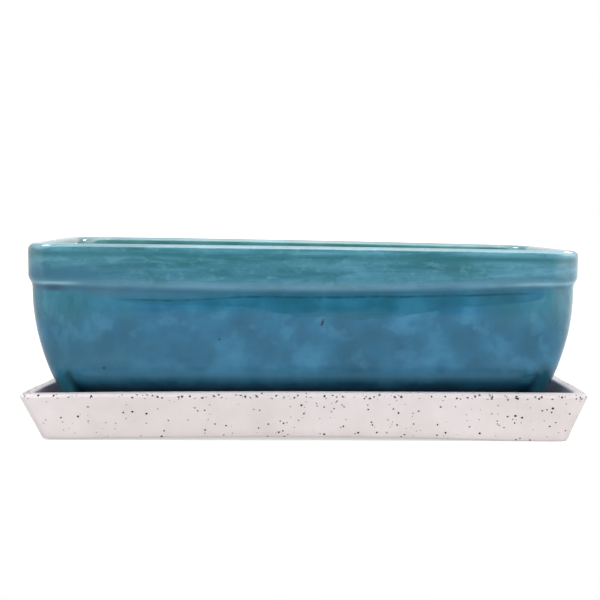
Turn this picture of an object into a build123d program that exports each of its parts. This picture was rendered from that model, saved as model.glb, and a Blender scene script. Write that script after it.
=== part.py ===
from build123d import *
import os
from math import atan, degrees, sqrt

# Rectangular glazed planter standing in a matching saucer.
# Millimetres. Origin on the ground under the middle, X along the length, Y to the back, Z up.

# Saucer: a tray of fired clay with outward leaning walls
saucer_length = 304.0
saucer_width = 154.0
saucer_height = 26.4
saucer_flare = 9.8
saucer_wall = 7.0
saucer_floor = 9.0
saucer_rim_round = 3.0
saucer_corner = 4.5
saucer_inner_corner = 4.0
saucer_floor_fillet = 3.0
saucer_base_bevel = 1.2

# Rubber pads under the saucer
pad_diameter = 12.0
pad_thickness = 1.0
pad_chamfer = 0.3
pad_setback = 14.0

# Pot: rim band, bellied wall and corner feet in one clay body
rim_setback = 2.4
pot_height = 96.6
band_height = 16.7
band_step = 2.2
lip_height = 7.5
belly_draw_in = 14.6
foot_corner = 5.2
pot_wall = 7.8
pot_floor = 9.0
cavity_corner = 17.0
cavity_fillet = 5.0
rim_outer_round = 3.8
rim_inner_round = 3.0
wall_root = 1.5

# Corner feet and the rounded lower edge of the walls between them
foot_height = 13.0
foot_toe = 14.0
foot_knee = 5.0
foot_shoulder = 1.0
foot_splay = 8.0
edge_round_height = 11.2
edge_round_run = 19.4

# Drain holes in the pot's floor and the loose grilles that cover them
drain_diameter = 14.0
drain_spacing = 86.0
drain_names = ("left", "middle", "right")
screen_lap = 7.0
screen_thickness = 1.4
screen_rim_width = 2.0
screen_rim_proud = 1.0
screen_slots = 8
screen_slot_width = 2.4
screen_hub = 3.4
screen_slot_margin = 1.0

# Levels, from the ground up
saucer_base_z = pad_thickness
saucer_floor_z = saucer_base_z + saucer_floor
saucer_top_z = saucer_base_z + saucer_height
toe_z = saucer_floor_z + foot_toe
underside_z = saucer_floor_z + foot_height
edge_crease_z = underside_z + edge_round_height
pot_floor_z = underside_z + pot_floor
pot_top_z = saucer_floor_z + pot_height
lip_z = pot_top_z - band_height
neck_z = lip_z - lip_height

# Saucer in plan: the leaning wall is drawn to a sharp edge that the rim's rounding takes back
saucer_slope = saucer_flare / (saucer_height - saucer_rim_round)
rim_sharp = saucer_rim_round * (saucer_slope + sqrt(1 + saucer_slope**2) - 1)
saucer_sharp_length = saucer_length + 2 * rim_sharp
saucer_sharp_width = saucer_width + 2 * rim_sharp
saucer_base_length = saucer_sharp_length - 2 * saucer_slope * saucer_height
saucer_base_width = saucer_sharp_width - 2 * saucer_slope * saucer_height

# Pot in plan: every corner of rim, belly and foot turns about the same upright axis
pot_length = saucer_length - 2 * rim_setback
pot_width = saucer_width - 2 * rim_setback
rim_corner = foot_corner + belly_draw_in + band_step
corner_x = pot_length / 2 - rim_corner
corner_y = pot_width / 2 - rim_corner
belly_drop = neck_z - toe_z
belly_radius = (belly_drop**2 + belly_draw_in**2) / (2 * belly_draw_in)


def wall_inset(height):
    """How far the wall's outer face lies inside the rim's outline at a height below the neck."""
    drop = neck_z - height
    return band_step + belly_radius - sqrt(belly_radius**2 - drop**2)


def leaning_block(top_length, top_width, low, high, corner):
    """A block with the saucer's leaning walls: two tapering profiles crossed, then its corners rounded."""
    draw_in = saucer_slope * (high - low)
    with BuildPart() as block:
        for across, along, profile_plane, mode in (
            (top_length / 2, top_width / 2, Plane.XZ, Mode.ADD),
            (top_width / 2, top_length / 2, Plane.YZ, Mode.INTERSECT),
        ):
            with BuildSketch(profile_plane):
                with BuildLine():
                    Polyline((0, low), (across - draw_in, low), (across, high), (0, high))
                    mirror(about=Plane.YZ)
                make_face()
            extrude(amount=along, both=True, mode=mode)
        fillet(block.edges().group_by(Axis.Z)[1], corner)
    return block.part


# Hollow of the saucer, rounded all along its floor
with BuildPart() as tray_hollow:
    mouth_length = saucer_sharp_length - 2 * saucer_wall
    mouth_width = saucer_sharp_width - 2 * saucer_wall
    add(leaning_block(mouth_length, mouth_width, saucer_floor_z, saucer_top_z, saucer_inner_corner))
    fillet(tray_hollow.edges().group_by(Axis.Z)[0], saucer_floor_fillet)

# Saucer: leaning walls round a flat floor, with a rounded rim and a softened foot
with BuildPart() as saucer:
    add(leaning_block(saucer_sharp_length, saucer_sharp_width, saucer_base_z, saucer_top_z, saucer_corner))
    chamfer(saucer.edges().group_by(Axis.Z)[0], saucer_base_bevel)
    add(tray_hollow.part, mode=Mode.SUBTRACT)
    fillet(saucer.edges().group_by(Axis.Z)[-1], saucer_rim_round)
saucer.part.label = "saucer"

# Room for soil: widens from the floor as the belly does, then rises straight inside the rim band
cavity_floor_inset = wall_inset(pot_floor_z) + pot_wall
cavity_inset = band_step + pot_wall
cavity_lean = degrees(atan((cavity_floor_inset - cavity_inset) / (neck_z - pot_floor_z)))
with BuildPart() as cavity:
    with BuildSketch(Plane.XY.offset(neck_z)):
        RectangleRounded(pot_length - 2 * cavity_inset, pot_width - 2 * cavity_inset, cavity_corner)
    extrude(amount=pot_floor_z - neck_z, taper=cavity_lean)
    fillet(cavity.faces().sort_by(Axis.Z)[0].edges(), cavity_fillet)
    extrude(cavity.faces().sort_by(Axis.Z)[-1], amount=pot_top_z - neck_z)

# Gaps between the feet, first under the long walls and then under the ends. The ceiling of each gap is the
# pot's underside, which turns up at its edge to round the wall's lower corner
gaps = []
for corner, reach, face_plane, end_plane in (
    (corner_x, pot_width / 2, Plane.XZ, Plane.YZ),
    (corner_y, pot_length / 2, Plane.YZ, Plane.XZ),
):
    flank = corner - foot_shoulder
    crease = reach - wall_inset(edge_crease_z)
    with BuildPart() as gap:
        with BuildSketch(face_plane):
            with BuildLine():
                Polyline(
                    (0, 0),
                    (flank - foot_splay, 0),
                    (flank - foot_splay, saucer_floor_z),
                    (flank, underside_z + foot_knee),
                    (flank, pot_top_z),
                    (0, pot_top_z),
                )
                mirror(about=Plane.YZ)
            make_face()
        extrude(amount=2 * reach, both=True)
        with BuildSketch(end_plane):
            with BuildLine():
                under = Line((0, underside_z), (crease - edge_round_run, underside_z))
                TangentArc(under @ 1, (crease, edge_crease_z), tangent=(1, 0))
                Polyline((crease, edge_crease_z), (2 * reach, edge_crease_z), (2 * reach, 0), (0, 0))
                mirror(about=Plane.YZ)
            make_face()
        extrude(amount=2 * corner, both=True, mode=Mode.INTERSECT)
    gaps.append(gap.part)

# Pot: the wall's section swept round the rim's outline, a core that closes it, then cavity, feet and drains
with BuildPart() as pot:
    with BuildLine() as rim_outline:
        run = Line((0, -pot_width / 2), (corner_x, -pot_width / 2))
        for next_run in (2 * corner_y, 2 * corner_x, 2 * corner_y, corner_x):
            bend = JernArc(run @ 1, run % 1, rim_corner, 90)
            run = Line(bend @ 1, (bend @ 1) + (bend % 1) * next_run)
    section_plane = Plane(origin=(0, -pot_width / 2, 0), x_dir=(0, -1, 0), z_dir=(-1, 0, 0))
    with BuildSketch(section_plane):
        with BuildLine():
            root = wall_root - rim_corner
            band = Line((0, pot_top_z), (0, lip_z))
            lip = TangentArc(band @ 1, (-band_step / 2, lip_z - lip_height / 2), tangent=(0, -1))
            cove = TangentArc(lip @ 1, (-band_step, neck_z), tangent=lip % 1)
            belly = TangentArc(cove @ 1, (-band_step - belly_draw_in, toe_z), tangent=(0, -1))
            Polyline(belly @ 1, (-band_step - belly_draw_in, saucer_floor_z), (root, saucer_floor_z))
            Polyline((root, saucer_floor_z), (root, pot_top_z), band @ 0)
        make_face()
    sweep()
    with BuildSketch(Plane.XY.offset(saucer_floor_z)):
        core_edge = foot_corner / 2
        RectangleRounded(2 * (corner_x + core_edge), 2 * (corner_y + core_edge), core_edge)
    extrude(amount=pot_height)
    add(cavity.part, mode=Mode.SUBTRACT)
    add(gaps, mode=Mode.SUBTRACT)
    with BuildSketch(Plane.XY.offset(underside_z)):
        with GridLocations(drain_spacing, 0, len(drain_names), 1):
            Circle(drain_diameter / 2)
    extrude(amount=pot_floor, mode=Mode.SUBTRACT)
    fillet(pot.faces().sort_by(Axis.Z)[-1].outer_wire().edges(), rim_outer_round)
    fillet(pot.faces().sort_by(Axis.Z)[-1].inner_wires().edges(), rim_inner_round)
pot.part.label = "pot"

os.makedirs("parts", exist_ok=True)
export_step(saucer.part, "parts/saucer.step")
export_step(pot.part, "parts/pot.step")

# Drain screens: round grilles with a raised rim, each lying over its hole on the pot's floor
standing = (Align.CENTER, Align.CENTER, Align.MIN)
screen_radius = drain_diameter / 2 + screen_lap
slot_reach = screen_radius - screen_rim_width - screen_slot_margin
for number, side in enumerate(drain_names):
    drain_x = (number - (len(drain_names) - 1) / 2) * drain_spacing
    with BuildPart(Plane((drain_x, 0, pot_floor_z))) as screen:
        Cylinder(screen_radius, screen_thickness + screen_rim_proud, align=standing)
        with BuildSketch(Plane((drain_x, 0, pot_floor_z + screen_thickness))):
            Circle(screen_radius - screen_rim_width)
        extrude(amount=screen_rim_proud, mode=Mode.SUBTRACT)
        with BuildSketch(Plane((drain_x, 0, pot_floor_z))):
            with PolarLocations((screen_hub + slot_reach) / 2, screen_slots):
                Rectangle(slot_reach - screen_hub, screen_slot_width)
        extrude(amount=screen_thickness, mode=Mode.SUBTRACT)
    screen.part.label = f"drain_screen_{side}"
    export_step(screen.part, f"parts/drain_screen_{side}.step")

# Saucer pads: rubber discs stuck under the four corners
pad_x = saucer_base_length / 2 - pad_setback
pad_y = saucer_base_width / 2 - pad_setback
for row, row_y in (("front", -pad_y), ("back", pad_y)):
    for side, side_x in (("left", -pad_x), ("right", pad_x)):
        with BuildPart(Plane((side_x, row_y, 0))) as pad:
            Cylinder(pad_diameter / 2, pad_thickness, align=standing)
            chamfer(pad.edges().sort_by(Axis.Z)[0], pad_chamfer)
        pad.part.label = f"saucer_pad_{row}_{side}"
        export_step(pad.part, f"parts/saucer_pad_{row}_{side}.step")
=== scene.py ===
from math import atan2, cos, degrees, exp, pi, radians, sin, sqrt

import bmesh
import bpy
from mathutils import Matrix, Vector, noise


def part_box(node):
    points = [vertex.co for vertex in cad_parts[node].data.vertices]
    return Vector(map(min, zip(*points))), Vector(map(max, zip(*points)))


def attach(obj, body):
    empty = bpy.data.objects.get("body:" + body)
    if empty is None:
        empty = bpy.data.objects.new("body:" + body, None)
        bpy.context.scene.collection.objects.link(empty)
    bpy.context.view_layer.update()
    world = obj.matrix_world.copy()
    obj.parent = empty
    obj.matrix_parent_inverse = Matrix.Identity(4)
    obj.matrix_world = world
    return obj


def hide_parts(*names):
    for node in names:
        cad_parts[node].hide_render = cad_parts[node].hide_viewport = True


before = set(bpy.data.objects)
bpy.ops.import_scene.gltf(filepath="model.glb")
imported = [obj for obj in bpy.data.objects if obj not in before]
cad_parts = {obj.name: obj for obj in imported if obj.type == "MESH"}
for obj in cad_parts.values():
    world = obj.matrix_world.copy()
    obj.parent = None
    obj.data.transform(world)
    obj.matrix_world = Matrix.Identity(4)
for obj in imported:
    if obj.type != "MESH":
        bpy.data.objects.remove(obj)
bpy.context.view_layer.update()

MM = 0.001

# Sizes of the pot in millimetres: its outline comes from the frame, the rest is measured from there
RIM_CORNER = 22.0
RIM_OUTER_ROUND = 3.8
RIM_INNER_ROUND = 4.6
RIM_WIDTH = 10.0
BAND_HEIGHT = 16.7
BAND_STEP = 2.2
LIP_HEIGHT = 7.5
BELLY_DRAW_IN = 14.6
WALL = 7.8
FLOOR_THICKNESS = 9.0
CAVITY_CORNER = 17.0
CAVITY_FILLET = 5.0
FOOT_HEIGHT = 13.0
FOOT_TOE = 14.0
FOOT_KNEE = 1.8
FOOT_SHOULDER = -0.6
FOOT_SPLAY = 8.4
SOLE_SETBACK = 2.0
SOLE_INNER_EASE = 1.6
SOLE_OUTER_EASE = 1.0
EDGE_RISE = 11.2
EDGE_RUN = 19.4
DRAIN_RADIUS = 7.0
DRAIN_SPACING = 86.0
DRAIN_COLLAR = 2.4
LEAST_CORNER = 1.5

pot_low, pot_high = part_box("pot")
pot_half_x = pot_high[0] / MM
pot_half_y = pot_high[1] / MM
rim_z = pot_high[2] / MM
foot_z = pot_low[2] / MM
lip_z = rim_z - BAND_HEIGHT
neck_z = lip_z - LIP_HEIGHT
toe_z = foot_z + FOOT_TOE
under_z = foot_z + FOOT_HEIGHT
crease_z = under_z + EDGE_RISE
knee_z = crease_z + FOOT_KNEE
floor_z = under_z + FLOOR_THICKNESS
corner_axis_x = pot_half_x - RIM_CORNER
corner_axis_y = pot_half_y - RIM_CORNER
belly_radius = ((neck_z - toe_z) ** 2 + BELLY_DRAW_IN ** 2) / (2 * BELLY_DRAW_IN)

# How the wall's lower edge sweeps up beside a foot, in millimetres
CREASE_SWEEP = 3.4
SWEEP_REACH = 5.5
SWEEP_FADE = 9.0
FLANK_EDGE = 1.0
FLANK_REACH = 12.0
BRINK_REACH = 14.0
NOOK_HEIGHT = 2.5

# How the pot slumped in the kiln, in millimetres: the rim's drop in all and towards each side, the lip's
# sag in the middle of a long wall and of an end, and the waves of its faces
POT_SHIFT = 0.5
POT_STRETCH = 1.0028
RIM_DROP = 1.75
RIM_DROP_RIGHT = 2.35
RIM_DROP_BACK = 0.6
RIM_DROP_BACK_RIGHT = 0.65
RIM_DROP_BACK_LEFT = 0.05
RIM_DROP_ENDS = 0.4
LONG_SAG = 2.3
LONG_SAG_REACH = 122.0
END_SAG = 0.8
END_SAG_REACH = 46.0
SAG_FADE = 20.0
UNDER_SAG = 1.2
UNDER_SAG_REACH = 6.0
WAVE_LENGTH = 46.0
WAVE_DEPTH = 0.3
RIPPLE_LENGTH = 17.0
RIPPLE_DEPTH = 0.1
WAVE_INWARD = 0.1

# Sizes of the saucer in millimetres
SAUCER_WALL = 7.0
SAUCER_FLOOR = 9.0
SAUCER_RIM_ROUND = 1.6
SAUCER_FLOOR_FILLET = 3.0
SAUCER_CORNER = 4.5
SAUCER_INNER_CORNER = 4.0
SAUCER_FLARE = 9.8

saucer_low, saucer_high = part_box("saucer")
saucer_half_x = saucer_high[0] / MM
saucer_half_y = saucer_high[1] / MM
saucer_base_z = saucer_low[2] / MM
saucer_rim_z = saucer_high[2] / MM
saucer_floor_z = saucer_base_z + SAUCER_FLOOR
saucer_slope = SAUCER_FLARE / (saucer_rim_z - saucer_base_z - SAUCER_RIM_ROUND)
saucer_lean = atan2(saucer_slope, 1.0)
saucer_sharp = SAUCER_RIM_ROUND * (saucer_slope + sqrt(1 + saucer_slope ** 2) - 1)

# How the saucer slumped in the kiln, in millimetres; a pair tells where a slump starts and where it is
# full, and a fade lies between two shares of the wall's height. Its waves are as deep as the pot's
CREST_LIFT = 0.5
BASE_BOW = 1.2
BASE_BOW_REACH = 120.0
BASE_BOW_FADE = (0.3, 0.9)
LONG_WALL = (45.0, 58.0)
DROOP_LEFT = 1.3
DROOP_RIGHT = 0.5
DIP_LEFT = 4.2
DIP_RIGHT = 2.0
END_WALL = (118.0, 146.0)
DIP_FRONT = (-75.0, 20.0)
DIP_BACK = (30.0, 78.0)
RIGHT_SLUMP = 0.9
RIGHT_SLUMP_REACH = (20.0, 140.0)
RIGHT_SLUMP_FADE = (0.0, 0.3)
RIGHT_SPREAD = 1.3
RIGHT_SPREAD_REACH = (100.0, 142.0)
RIGHT_SPREAD_TOP = 0.95
SAUCER_WAVE_LENGTH = 50.0


# Rings: every wall is a stack of rounded rectangles, each pulled out of the one before

CORNER_STEPS = 14
RUN_STEP = 2.0
END_CROWDING = 0.55


def rounded_ring(bm, half_x, half_y, corner):
    """A closed ring of edges in plan, in millimetres, with guides that tell where each point belongs."""
    sheet = bmesh.ops.create_grid(bm, x_segments=1, y_segments=1, size=1.0)
    bmesh.ops.scale(bm, vec=(half_x, half_y, 1.0), verts=sheet["verts"])
    bmesh.ops.bevel(bm, geom=sheet["verts"], offset=corner, offset_type="OFFSET", segments=CORNER_STEPS,
                    profile=0.5, affect="VERTICES", material=-1)
    bmesh.ops.delete(bm, geom=bm.faces[:], context="FACES_ONLY")
    for run, across in ((half_x - corner, 0), (half_y - corner, 1)):
        long_edges = [e for e in bm.edges if abs((e.verts[0].co - e.verts[1].co)[across]) > run]
        bmesh.ops.subdivide_edges(bm, edges=long_edges, cuts=int(2 * run / RUN_STEP))
    ring = [max(bm.verts, key=lambda v: (v.co.x, v.co.y))]
    ahead = max(ring[0].link_edges, key=lambda e: e.other_vert(ring[0]).co.y)
    while True:
        point = ahead.other_vert(ring[-1])
        if point is ring[0]:
            break
        ring.append(point)
        ahead = next(e for e in point.link_edges if e is not ahead)
    guides = []
    for point in ring:
        along_x = max(-1.0, min(1.0, point.co.x / (half_x - corner)))
        along_y = max(-1.0, min(1.0, point.co.y / (half_y - corner)))
        turn = atan2(point.co.y - along_y * (half_y - corner), point.co.x - along_x * (half_x - corner))
        guides.append((towards_ends(along_x), towards_ends(along_y), cos(turn), sin(turn)))
    return ring, guides


def towards_ends(along):
    """Crowds the points of a straight run towards its two ends, where the feet need them."""
    return (1 - END_CROWDING) * along + END_CROWDING * sin(along * pi / 2)


def ring_edges(bm, ring):
    return [bm.edges.get((a, b)) for a, b in zip(ring, ring[1:] + ring[:1])]


def pulled_ring(bm, ring):
    """A new ring pulled out of the last one, its points in the same order."""
    fresh = bmesh.ops.extrude_edge_only(bm, edges=ring_edges(bm, ring))["geom"]
    fresh = {v for v in fresh if isinstance(v, bmesh.types.BMVert)}
    return [next(e.other_vert(v) for e in v.link_edges if e.other_vert(v) in fresh) for v in ring]


def plan_place(guide, half_x, half_y, corner):
    along_x, along_y, out_x, out_y = guide
    return along_x * (half_x - corner) + out_x * corner, along_y * (half_y - corner) + out_y * corner


def lay_ring(ring, guides, half_x, half_y, corner, height):
    for point, guide in zip(ring, guides):
        x, y = plan_place(guide, half_x, half_y, corner)
        point.co = (x * MM, y * MM, height * MM)


def steps_between(first, last, count):
    return [first + (last - first) * i / count for i in range(count + 1)]


def arc(center, radius, start, end, count):
    """Points (inset, height) on an arc between two angles in degrees; 0 is outward and 90 is up."""
    angles = [radians(angle) for angle in steps_between(start, end, count)]
    return [(center[0] - radius * cos(a), center[1] + radius * sin(a)) for a in angles]


def soft_step(value, low, high):
    share = max(0.0, min(1.0, (value - low) / (high - low)))
    return share * share * (3 - 2 * share)


def finish_piece(bm, name, body, slot, material, *nodes):
    bmesh.ops.recalc_face_normals(bm, faces=bm.faces[:])
    mesh = bpy.data.meshes.new(name)
    bm.to_mesh(mesh)
    bm.free()
    for face in mesh.polygons:
        face.use_smooth = True
    piece = bpy.data.objects.new(name, mesh)
    bpy.context.scene.collection.objects.link(piece)
    piece.data.materials.append(material)
    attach(piece, body)
    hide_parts(*nodes)
    return piece


# Nodes for the materials

def linear(red, green, blue):
    """A colour as it looks on screen, 0 to 255, as the linear values that nodes take."""
    values = []
    for channel in (red, green, blue):
        share = channel / 255
        values.append(share / 12.92 if share <= 0.04045 else ((share + 0.055) / 1.055) ** 2.4)
    return (*values, 1.0)


class Nodes:
    """A node tree that is built call by call; an input may be a value or another node's output."""

    def __init__(self, tree):
        self.tree = tree
        tree.nodes.clear()

    def add(self, kind, inputs, output=0, **settings):
        node = self.tree.nodes.new(kind)
        for key, value in settings.items():
            setattr(node, key, value)
        for key, value in inputs.items():
            if isinstance(value, bpy.types.NodeSocket):
                self.tree.links.new(value, node.inputs[key])
            else:
                node.inputs[key].default_value = value
        return None if output is None else node.outputs[output]

    def math(self, operation, a, b=0.0, c=0.0):
        return self.add("ShaderNodeMath", {0: a, 1: b, 2: c}, operation=operation)

    def times(self, share, *others):
        for other in others:
            share = self.math("MULTIPLY", share, other)
        return share

    def smooth(self, value, low, high, to_low=0.0, to_high=1.0):
        return self.add("ShaderNodeMapRange", {"Value": value, "From Min": low, "From Max": high,
                                               "To Min": to_low, "To Max": to_high},
                        interpolation_type="SMOOTHSTEP")

    def bump_at(self, value, center, reach):
        """1 at the center, falling softly to 0 at the reach on both sides."""
        away = self.math("ABSOLUTE", self.math("SUBTRACT", value, center))
        return self.smooth(away, 0.0, reach, 1.0, 0.0)

    def mix(self, share, a, b):
        return self.add("ShaderNodeMix", {0: share, 6: a, 7: b}, output=2, data_type="RGBA")

    def tint(self, color, tone, *shares):
        """Lays a tone over a colour, as strongly as the product of the shares."""
        return self.mix(self.times(*shares), color, linear(*tone))

    def ramp(self, value, tones):
        """Shades from tone to tone; each comes with its place on the ramp."""
        output = self.add("ShaderNodeValToRGB", {0: value})
        band = output.node.color_ramp
        while len(band.elements) < len(tones):
            band.elements.new(0.5)
        for element, (position, tone) in zip(band.elements, tones):
            element.position = position
            element.color = linear(*tone)
        return output

    def noise(self, place, scale, detail=2.0, roughness=0.5, distortion=0.0):
        return self.add("ShaderNodeTexNoise", {"Vector": place, "Scale": scale, "Detail": detail,
                                               "Roughness": roughness, "Distortion": distortion})

    def cells(self, place, scale):
        """Scattered cells: the distance from the middle of the nearest one, and two draws for that cell."""
        near = self.add("ShaderNodeTexVoronoi", {"Vector": place, "Scale": scale, "Randomness": 1.0},
                        output="Distance")
        draws = self.add("ShaderNodeSeparateColor", {0: near.node.outputs["Color"]}).node.outputs
        return near, draws[0], draws[1]

    def stretched(self, place, x, y, z):
        return self.add("ShaderNodeVectorMath", {0: place, 1: (x, y, z)}, operation="MULTIPLY")

    def drifted(self, place, drift):
        return self.add("ShaderNodeVectorMath", {0: place, 1: drift}, operation="ADD")

    def parts(self, place):
        return tuple(self.add("ShaderNodeSeparateXYZ", {0: place}).node.outputs)

    def millimetres(self, place):
        return self.parts(self.stretched(place, 1 / MM, 1 / MM, 1 / MM))

    def attribute(self, name):
        return self.add("ShaderNodeAttribute", {}, output="Fac", attribute_name=name)

    def relief(self, height, strength, distance):
        return self.add("ShaderNodeBump", {"Height": height, "Strength": strength,
                                           "Distance": distance * MM})

    def surface(self, inputs):
        shader = self.add("ShaderNodeBsdfPrincipled", inputs)
        self.add("ShaderNodeOutputMaterial", {"Surface": shader}, output=None)


def new_material(name):
    material = bpy.data.materials.new(name)
    material.use_nodes = True
    nodes = Nodes(material.node_tree)
    place = nodes.add("ShaderNodeTexCoord", {}, output="Object")
    return material, nodes, place


# Blue glaze of the pot
# Along is in millimetres to the right of the middle, rise in millimetres above the ground as drawn

# Which stretch of the endless noise each field of the glaze shows, in metres
BAND_DRIFT = (3.41, 1.87, 2.53)
POOL_DRIFT = (2.79, 1.53, 2.07)
WALL_DRIFT = (3.10, 1.70, 2.30)

# Tones of the rim band as they look on screen, 0 to 255
BAND_STREAKS = ((0.32, (44, 106, 118)), (0.43, (62, 125, 141)),
                (0.55, (78, 142, 160)), (0.68, (102, 164, 181)))
BAND_BLUE = (68, 124, 152)
BAND_DEEP = (46, 110, 120)
BAND_PALE = (94, 152, 176)
WISP_DEEP = (48, 112, 124)
WISP_PALE = (102, 164, 178)
BAND_LOW_LEFT = (46, 104, 130)
UNDER_RIM_SHADE = (38, 106, 119)

# Tones of the wall and the feet, with the painted shade and highlights on them
WALL_CLOUDS = ((0.34, (26, 93, 123)), (0.46, (33, 104, 138)),
               (0.56, (40, 113, 148)), (0.68, (56, 129, 166)))
BLOT_DEEP = (26, 93, 119)
BLOT_PALE = (66, 136, 170)
WALL_GRAIN = (28, 97, 125)
WALL_GREEN = (38, 108, 127)
WALL_SHOULDER = (52, 122, 136)
MOTTLE_DEEP = (30, 92, 108)
MOTTLE_PALE = (78, 142, 170)
WALL_LOW_LEFT = (34, 96, 118)
WALL_MIDDLE_SHADE = (26, 95, 124)
BRINK_THIN_AND_LIT = (80, 124, 146)
EDGE_THIN_AND_LIT = (84, 128, 148)
UNDERSIDE_SHADE = (6, 34, 48)
NOOK_SHADE = (8, 42, 58)
RIGHT_CORNER_SHADE = (20, 72, 84)
LEFT_FEET_SHADE = (40, 100, 114)
RIGHT_FEET_SHADE = (24, 74, 88)

# Tones of the pooled glaze and the lip with its painted highlights, shade and shadow, then of the pits, the
# inner face, the thin rim with its painted highlight and the bare soles
POOL_CLOUDS = ((0.36, (18, 92, 116)), (0.5, (25, 101, 129)), (0.62, (36, 112, 142)))
POOL_RUN = (18, 88, 106)
POOL_BRIM = (26, 92, 114)
LIP_PALE_AND_HIGHLIGHT = (106, 163, 190)
LIP_TIP_HIGHLIGHT = (152, 198, 216)
LIP_SHADE = (58, 98, 122)
LIP_SHADE_SLID = (64, 110, 134)
LIP_SEAM = (16, 68, 88)
LIP_NOTCH_SHADOW = (34, 68, 94)
FLECK = (28, 20, 38)
INSIDE_CLOUDS = ((0.3, (52, 112, 116)), (0.7, (76, 140, 144)))
RIM_THIN_AND_HIGHLIGHT = (146, 192, 202)
BARE_CLAY = (196, 178, 160)

# Pool of glaze under the lip, in millimetres: its middle, half its length, its top and how far it hangs
POOL_MIDDLE = 14.0
POOL_HALF_LENGTH = 114.0
pool_top_z = neck_z - 1.6
POOL_HANG = 12.5
POOL_HANG_LEFT = 6.5
POOL_LESS_RIGHT = 5.5
POOL_RIPPLE = 1.8

# Pits and one fused crumb in the front wall: across, height and radius in millimetres, and depth of tone
FRONT_FLECKS = ((10.3, 66.4, 0.6, 0.8), (10.0, 65.3, 0.9, 0.95), (9.7, 64.2, 1.0, 0.95),
                (9.2, 63.4, 0.7, 0.7), (-45.3, 55.5, 0.8, 0.9), (-108.0, 39.2, 0.9, 0.95))
FLECK_CORE = 0.4


def band_color(nodes, place, along, rise):
    """Rim band: greener above and bluer below, streaked along the rim, with deeper runs and pale wisps, and
    painted shade just under the rim's rounding.
    """
    streaks = nodes.noise(nodes.stretched(place, 12.0, 12.0, 130.0),
                          scale=1.0, detail=6.0, roughness=0.62, distortion=0.5)
    color = nodes.ramp(streaks, BAND_STREAKS)
    color = nodes.tint(color, BAND_BLUE, nodes.smooth(rise, lip_z - 2.0, rim_z - 5.0, 0.55, 0.0))
    patches = nodes.noise(nodes.stretched(place, 0.7, 0.7, 1.3),
                          scale=62.0, detail=4.0, roughness=0.6, distortion=0.4)
    color = nodes.tint(color, BAND_DEEP, nodes.smooth(patches, 0.55, 0.66, 0.0, 0.65))
    color = nodes.tint(color, BAND_PALE, nodes.smooth(patches, 0.44, 0.30, 0.0, 0.55))
    wisps = nodes.noise(nodes.stretched(place, 0.7, 0.7, 1.4),
                        scale=240.0, detail=3.0, roughness=0.6, distortion=0.2)
    color = nodes.tint(color, WISP_PALE, nodes.smooth(wisps, 0.50, 0.74, 0.0, 0.35))
    color = nodes.tint(color, WISP_DEEP, nodes.smooth(wisps, 0.42, 0.30, 0.0, 0.45))
    left = nodes.smooth(along, -70.0, -125.0, 0.0, 0.85)
    color = nodes.tint(color, BAND_LOW_LEFT, left, nodes.bump_at(rise, lip_z + 1.0, 8.0))
    # Painted shade: a darker line just under the rim's rounding, where the glaze mirrors the dim room;
    # strongest to the right
    deeper = nodes.math("MAXIMUM", nodes.smooth(along, 0.0, 100.0, 0.3, 0.85),
                        nodes.smooth(along, -40.0, -80.0, 0.3, 0.8))
    color = nodes.tint(color, UNDER_RIM_SHADE, nodes.bump_at(rise, rim_z - 5.2, 2.6), deeper)
    return color, streaks


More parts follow.
